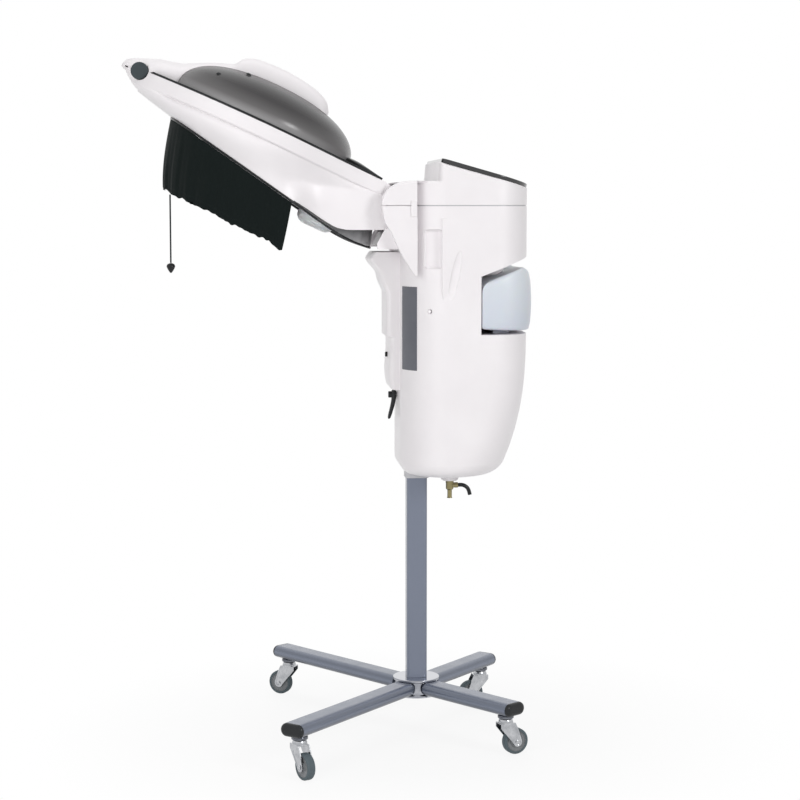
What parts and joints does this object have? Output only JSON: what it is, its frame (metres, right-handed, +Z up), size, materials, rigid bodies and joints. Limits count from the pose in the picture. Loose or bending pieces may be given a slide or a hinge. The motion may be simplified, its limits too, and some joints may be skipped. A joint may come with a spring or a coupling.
{
  "type": "salon hair steamer",
  "caption": "Floor-standing salon hair steamer: wheeled stand, sliding steam head with water tank, and a tilting hood with a flip-up smoked dome and a hanging cloth curtain.",
  "frame": {"origin": "on the column's axis at the floor", "axes": "+Z up along the column, -X towards the hood, +X towards the water tank; the object is symmetric about Y = 0 apart from the casters and the drain tap"},
  "size_m": [0.7809, 0.6854, 1.3189],
  "materials": {
    "white_plastic": "moulded, satin gloss",
    "grey_plastic": "moulded, matte",
    "black_plastic": "moulded, gloss",
    "panel_gloss_black": "polished",
    "key_grey": "satin",
    "circuit_board": "lacquered board",
    "knob_dark_grey": "moulded, matte",
    "smoke_dome": "smoked, polished",
    "frosted_clear": "translucent, frosted",
    "black_cloth": "woven, matte",
    "blue_grey_paint": "metallic enamel",
    "chrome": "polished",
    "zinc_plate": "bright zinc",
    "boiler_steel": "brushed",
    "brass": "turned",
    "grey_rubber": "moulded rubber",
    "black_seal": "extruded"
  },
  "bodies": {
    "stand": {"hub_base": "chrome", "hub_top_plate": "chrome", "hub_bolt": "zinc_plate", "column_tube": "blue_grey_paint", "column_plug": "zinc_plate", "leg_front_left": "blue_grey_paint", "leg_front_right": "blue_grey_paint", "leg_rear_left": "blue_grey_paint", "leg_rear_right": "blue_grey_paint", "leg_cap_front_left": "black_plastic", "leg_cap_front_right": "black_plastic", "leg_cap_rear_left": "black_plastic", "leg_cap_rear_right": "black_plastic"},
    "head": {"housing_left": "white_plastic", "housing_right": "white_plastic", "top_cover": "white_plastic", "control_panel": "panel_gloss_black", "control_board": "circuit_board", "cover_clip_left": "white_plastic", "cover_clip_right": "white_plastic", "front_cover": "white_plastic", "hinge_cradle": "white_plastic", "column_sleeve": "grey_plastic", "tank_bay": "white_plastic", "hood_pin": "zinc_plate", "boiler": "boiler_steel", "steam_pipe": "grey_plastic", "feed_pipe": "grey_plastic", "drain_boss": "white_plastic", "drain_valve": "brass", "cord_gland": "black_plastic"},
    "hood": {"hood_tray": "white_plastic", "rim_seal": "black_seal", "steam_nozzle": "white_plastic", "outlet_dish": "frosted_clear", "curtain": "black_cloth", "drawstring": "black_cloth", "drawstring_toggle": "black_plastic", "hinge_knob_left": "knob_dark_grey", "hinge_knob_right": "knob_dark_grey"},
    "cover": {"cover_shell": "white_plastic", "cover_flange": "black_plastic", "dome_window": "smoke_dome"},
    "tank": {"water_tank": "frosted_clear", "tank_cap": "white_plastic"},
    "clamp": {"clamp_lever": "black_plastic", "clamp_screw": "zinc_plate"},
    "drain_handle": {"drain_lever": "black_plastic"},
    "button": {"front_button": "black_plastic"},
    "power_key": {"key_power": "key_grey"},
    "timer_key": {"key_timer": "key_grey"},
    "caster_front_left": {"caster_fork_front_left": "zinc_plate"},
    "wheel_front_left": {"caster_wheel_front_left": "grey_rubber"},
    "caster_front_right": {"caster_fork_front_right": "zinc_plate"},
    "wheel_front_right": {"caster_wheel_front_right": "grey_rubber"},
    "caster_rear_left": {"caster_fork_rear_left": "zinc_plate"},
    "wheel_rear_left": {"caster_wheel_rear_left": "grey_rubber"},
    "caster_rear_right": {"caster_fork_rear_right": "zinc_plate"},
    "wheel_rear_right": {"caster_wheel_rear_right": "grey_rubber"}
  },
  "joints": [
    {"name": "height_slide", "type": "slide", "parent": "stand", "child": "head", "axis": [0, 0, 1], "range_m": [0, 0.2]},
    {"name": "hood_tilt", "type": "hinge", "parent": "head", "child": "hood", "pos_m": [-0.03, 0, 1.02], "axis": [0, 1, 0], "range_deg": [0, 30]},
    {"name": "cover_hinge", "type": "hinge", "parent": "hood", "child": "cover", "pos_m": [-0.52786, 0, 1.29191], "axis": [0, -1, 0], "range_deg": [0, 33]},
    {"name": "tank_slide", "type": "slide", "parent": "head", "child": "tank", "axis": [1, 0, 0], "range_m": [0, 0.12]},
    {"name": "clamp_turn", "type": "hinge", "parent": "head", "child": "clamp", "pos_m": [-0.045, 0, 0.672], "axis": [1, 0, 0], "range_deg": [-70, 70]},
    {"name": "button_press", "type": "slide", "parent": "head", "child": "button", "axis": [1, 0, 0], "range_m": [0, 0.0015], "stiffness_N_per_m": 400, "springref_m": -0.002},
    {"name": "drain_turn", "type": "hinge", "parent": "head", "child": "drain_handle", "pos_m": [0.084, -0.02, 0.4944], "axis": [1, 0, 0], "range_deg": [-90, 0]},
    {"name": "power_press", "type": "slide", "parent": "head", "child": "power_key", "axis": [-0.2723, 0, -0.9622], "range_m": [0, 0.001], "stiffness_N_per_m": 600, "springref_m": -0.001},
    {"name": "timer_press", "type": "slide", "parent": "head", "child": "timer_key", "axis": [-0.2723, 0, -0.9622], "range_m": [0, 0.001], "stiffness_N_per_m": 600, "springref_m": -0.001},
    {"name": "swivel_front_left", "type": "hinge", "parent": "stand", "child": "caster_front_left", "pos_m": [-0.24269, -0.30401, 0.06], "axis": [0, 0, 1], "continuous": true},
    {"name": "roll_front_left", "type": "hinge", "parent": "caster_front_left", "child": "wheel_front_left", "pos_m": [-0.2333, -0.32167, 0.025], "axis": [0.8829, 0.4695, 0], "continuous": true},
    {"name": "swivel_front_right", "type": "hinge", "parent": "stand", "child": "caster_front_right", "pos_m": [-0.24269, 0.30401, 0.06], "axis": [0, 0, 1], "continuous": true},
    {"name": "roll_front_right", "type": "hinge", "parent": "caster_front_right", "child": "wheel_front_right", "pos_m": [-0.26035, 0.3134, 0.025], "axis": [-0.4695, -0.8829, 0], "continuous": true},
    {"name": "swivel_rear_left", "type": "hinge", "parent": "stand", "child": "caster_rear_left", "pos_m": [0.15285, -0.19147, 0.06], "axis": [0, 0, 1], "continuous": true},
    {"name": "roll_rear_left", "type": "hinge", "parent": "caster_rear_left", "child": "wheel_rear_left", "pos_m": [0.17164, -0.18463, 0.025], "axis": [-0.342, 0.9397, 0], "continuous": true},
    {"name": "swivel_rear_right", "type": "hinge", "parent": "stand", "child": "caster_rear_right", "pos_m": [0.15285, 0.19147, 0.06], "axis": [0, 0, 1], "continuous": true},
    {"name": "roll_rear_right", "type": "hinge", "parent": "caster_rear_right", "child": "wheel_rear_right", "pos_m": [0.13304, 0.18869, 0.025], "axis": [0.1392, -0.9903, 0], "continuous": true}
  ]
}
